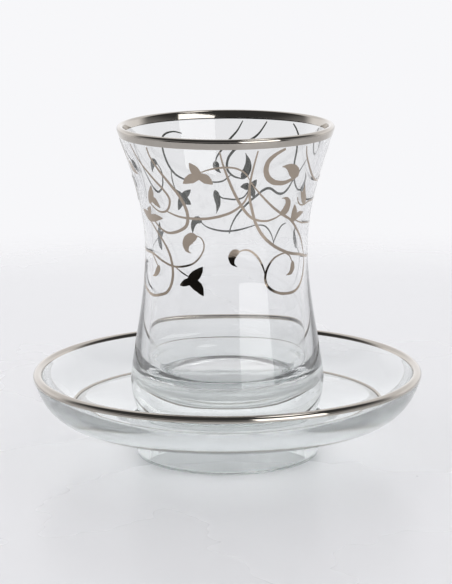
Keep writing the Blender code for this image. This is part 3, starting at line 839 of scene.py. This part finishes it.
def left_side_curl():
    return [
        stem(0.9, (-90, 0), (-93, 5), (-97, 10), (-96, 15), (-90, 18), (-84, 16.5), (-82.5, 13.5)),
        leaf(2.4, (-82.3, 14.4), (-84.5, 11.4), (-89.5, 11.6)),
    ]


def left_tendril():
    return [
        stem(0.7, (-84, 0), (-80, 3.6), (-72, 6.8)),
        leaf(2.4, (-75, 5.8), (-68.5, 8), (-63.5, 8.7)),
    ]


SPRAYS = (
    front_vine, right_scroll, right_tendril, right_curl, right_side_scroll, back_vine,
    back_scroll, back_tendril, back_left_scroll, left_side_scroll, left_side_curl, left_tendril,
)


def smooth_path(points):
    """Points close together on a curve through the given ones."""
    path = []
    last = len(points) - 1
    for index in range(last):
        start = points[index]
        end = points[index + 1]
        before = points[max(index - 1, 0)]
        after = points[min(index + 2, last)]
        start_handle = start + PATH_PULL * (end - before)
        end_handle = end - PATH_PULL * (after - start)
        path += interpolate_bezier(start, start_handle, end_handle, end, PATH_FINENESS + 1)[:-1]
    return [Vector(point) for point in path] + [points[-1]]


def even_stations(path):
    """Points at equal lengths along a path, about STROKE_STEP apart."""
    lengths = [0.0]
    for start, end in zip(path, path[1:]):
        lengths.append(lengths[-1] + (end - start).length)
    count = max(LEAST_STATIONS, round(lengths[-1] / STROKE_STEP))
    wanted = [lengths[-1] * station / count for station in range(count + 1)]
    across = np.interp(wanted, lengths, [point.x for point in path])
    height = np.interp(wanted, lengths, [point.y for point in path])
    return [Vector(pair) for pair in zip(across.tolist(), height.tolist())]


def stroke_outline(stroke, wall, top, ragged, chance):
    """The closed outline of a stroke on the wall, unrolled to radians and heights, and its middle line."""
    law, width, points = stroke
    girth = min(point.x for point in wall)
    path = even_stations(smooth_path([Vector((radians(a) * girth, top - b * VINE_UNIT)) for a, b in points]))
    right = []
    left = []
    for index, point in enumerate(path):
        stretch = radius_at(wall, point.y) / girth
        along = path[min(index + 1, len(path) - 1)] - path[max(index - 1, 0)]
        along = Vector((along.x * stretch, along.y)).normalized()
        half = max(width * VINE_UNIT * law(index / (len(path) - 1)), LEAF_POINT) / 2
        side = Vector((along.y / stretch, -along.x))
        right.append(point + side * half * (1 + ragged * chance.uniform(-1, 1)))
        left.append(point - side * half * (1 + ragged * chance.uniform(-1, 1)))
    return right + left[::-1], path[1:-1]


def wrapped_film(strokes, wall, top, film):
    """One island of film: its strokes joined on the unrolled wall, wrapped round it and thickened."""
    girth = min(point.x for point in wall)
    chance = Random(RAGGED_SEED)
    coords = []
    outlines = []
    for stroke in strokes:
        outline, middle = stroke_outline(stroke, wall, top, film.ragged, chance)
        outlines.append(list(range(len(coords), len(coords) + len(outline))))
        coords += outline + middle
    flat, _, triangles, _, _, owners = delaunay_2d_cdt(coords, [], outlines, INSIDE_OUTLINES, MERGE_DISTANCE)
    bm = bmesh.new()
    verts = {}
    for triangle, owner in zip(triangles, owners):
        if not owner:
            continue
        for corner in triangle:
            if corner not in verts:
                around = flat[corner].x / girth
                reach = radius_at(wall, flat[corner].y) - film.sunk
                verts[corner] = bm.verts.new((reach * sin(around), -reach * cos(around), flat[corner].y))
        bm.faces.new([verts[corner] for corner in triangle])
    under = bm.faces[:]
    raised = bmesh.ops.extrude_face_region(bm, geom=under)["geom"]
    for vert in raised:
        if isinstance(vert, bmesh.types.BMVert):
            outward = Vector((vert.co.x, vert.co.y, 0.0)).normalized()
            vert.co += (film.sunk + film.proud) * outward
    for face in under:
        face.material_index = 1
    bmesh.ops.recalc_face_normals(bm, faces=bm.faces)
    return bm


# Operators


class TEASET_OT_saucer(bpy.types.Operator):
    """Turn the footed saucer in clear glass"""

    bl_idname = "teaset.saucer"
    bl_label = "Saucer"

    def execute(self, context):
        teaset = context.scene.teaset
        material = glass_finish("saucer_glass", teaset.look.saucer, SAUCER_DENSITY, SAUCER_LEAK)
        finish_piece("dish", turned(saucer_profile(teaset.saucer)), [material], "saucer", "saucer_glass",
                     "saucer")
        return {"FINISHED"}


class TEASET_OT_glass(bpy.types.Operator):
    """Turn the pinched tea glass"""

    bl_idname = "teaset.glass"
    bl_label = "Tea glass"

    def execute(self, context):
        teaset = context.scene.teaset
        material = glass_finish("clear_glass", teaset.look.glass, GLASS_DENSITY, GLASS_LEAK)
        finish_piece("pinched_glass", turned(glass_profile(teaset.glass)), [material], "glass", "clear_glass",
                     "tea_glass")
        return {"FINISHED"}


class TEASET_OT_bands(bpy.types.Operator):
    """Fold platinum over both lips and draw the line round the saucer's well"""

    bl_idname = "teaset.bands"
    bl_label = "Bands and well line"

    def execute(self, context):
        teaset = context.scene.teaset
        film = teaset.film
        # The bands and the well line take the lighter platinum, whose extra lightness is painted sheen.
        metal = platinum_finish("platinum_with_painted_sheen", teaset.look.band, teaset.look.band_dull)
        glass_band = folded_band(glass_outside(teaset.glass), lip(teaset.glass, GLASS_SEAT),
                                 glass_inside(teaset.glass), film.glass_outside, film.glass_inside, film)
        finish_piece("glass_band", glass_band, [metal], "glass", "platinum", "glass_rim_band")
        saucer_band = folded_band(saucer_outside(teaset.saucer), lip(teaset.saucer),
                                  saucer_inside(teaset.saucer), film.saucer_outside, film.saucer_inside, film)
        finish_piece("saucer_band", saucer_band, [metal], "saucer", "platinum", "saucer_rim_band")
        line = well_line(teaset.saucer, film)
        finish_piece("saucer_line", line, [metal], "saucer", "platinum", "saucer_well_line")
        return {"FINISHED"}


class TEASET_OT_vine(bpy.types.Operator):
    """Wrap the platinum vine round the glass"""

    bl_idname = "teaset.vine"
    bl_label = "Vine"

    def execute(self, context):
        teaset = context.scene.teaset
        look = teaset.look
        materials = [platinum_finish("platinum", look.platinum, look.platinum_dull), underside_finish(look)]
        wall = glass_outside(teaset.glass)
        lip_top = GLASS_SEAT + teaset.glass.height
        top = lip_top - teaset.film.glass_outside - teaset.film.vine_clearance
        for spray in SPRAYS:
            bm = wrapped_film(spray(), wall, top, teaset.film)
            finish_piece(f"{spray.__name__}_film", bm, materials, "glass", "platinum", spray.__name__)
        return {"FINISHED"}


class TEASET_OT_stage(bpy.types.Operator):
    """Set the floor, the light and the camera"""

    bl_idname = "teaset.stage"
    bl_label = "Stage"

    def execute(self, context):
        teaset = context.scene.teaset
        set_floor(teaset.look, teaset.stage)
        context.scene.world = studio_light(teaset.look)
        hang_lamp("window", *WINDOW)
        hang_lamp("roof_light", *ROOF_LIGHT)
        set_camera(context.scene, teaset.stage)
        context.scene.view_settings.view_transform = "Standard"
        return {"FINISHED"}


def set_floor(look, stage):
    bm = bmesh.new()
    reach = stage.floor_radius + stage.floor_fade
    bmesh.ops.create_circle(bm, cap_ends=True, segments=FLOOR_STEPS, radius=reach)
    bmesh.ops.bisect_plane(bm, geom=bm.verts[:] + bm.edges[:] + bm.faces[:], clear_outer=True,
                           plane_co=(0.0, -stage.floor_front, 0.0), plane_no=(0.0, -1.0, 0.0))
    mesh = bpy.data.meshes.new("floor")
    bm.to_mesh(mesh)
    bm.free()
    mesh.materials.append(floor_finish(look, stage))
    floor = bpy.data.objects.new("floor", mesh)
    bpy.context.scene.collection.objects.link(floor)


def hang_lamp(name, place, size, power):
    """A soft rectangular lamp that faces the glass and isn't itself in the picture."""
    lamp = bpy.data.lights.new(name, "AREA")
    lamp.shape = "RECTANGLE"
    lamp.size, lamp.size_y = size
    lamp.energy = power
    holder = bpy.data.objects.new(name, lamp)
    holder.location = place
    aim = Vector((0.0, 0.0, GLASS_SEAT + LAMP_AIM)) - holder.location
    holder.rotation_euler = aim.to_track_quat("-Z", "Y").to_euler()
    holder.visible_camera = False
    holder.visible_diffuse = False
    holder.visible_transmission = False
    bpy.context.scene.collection.objects.link(holder)


def set_camera(scene, stage):
    camera = bpy.data.cameras.new("camera")
    camera.sensor_width = SENSOR * MILLIMETRES
    camera.lens = stage.camera_lens * MILLIMETRES
    holder = bpy.data.objects.new("camera", camera)
    turn = Matrix.Rotation(pi / 2 - stage.camera_tilt, 4, "X") @ Matrix.Rotation(stage.camera_roll, 4, "Z")
    place = Matrix.Translation((stage.camera_side, -stage.camera_back, stage.camera_height))
    holder.matrix_world = place @ turn
    scene.collection.objects.link(holder)
    scene.camera = holder


class TEASET_PT_panel(bpy.types.Panel):
    """Lists the pieces of the tea set"""

    bl_label = "Tea Glass"
    bl_idname = "TEASET_PT_panel"
    bl_space_type = "VIEW_3D"
    bl_region_type = "UI"
    bl_category = "Tea Glass"

    def draw(self, context):
        for operator in OPERATORS:
            self.layout.operator(operator.bl_idname)
        for group in ("saucer", "glass", "film", "look", "stage"):
            settings = getattr(context.scene.teaset, group)
            box = self.layout.box()
            for name in settings.__annotations__:
                box.prop(settings, name)


OPERATORS = (TEASET_OT_saucer, TEASET_OT_glass, TEASET_OT_bands, TEASET_OT_vine, TEASET_OT_stage)
GROUPS = (TEASET_PG_saucer, TEASET_PG_glass, TEASET_PG_film, TEASET_PG_look, TEASET_PG_stage, TEASET_PG_set)
CLASSES = (*GROUPS, *OPERATORS, TEASET_PT_panel)


def register():
    for item in CLASSES:
        bpy.utils.register_class(item)
    bpy.types.Scene.teaset = PointerProperty(type=TEASET_PG_set)


def unregister():
    del bpy.types.Scene.teaset
    for item in reversed(CLASSES):
        bpy.utils.unregister_class(item)


def main():
    register()
    bpy.ops.teaset.saucer()
    bpy.ops.teaset.glass()
    bpy.ops.teaset.bands()
    bpy.ops.teaset.vine()
    bpy.ops.teaset.stage()


if __name__ == "__main__":
    main()
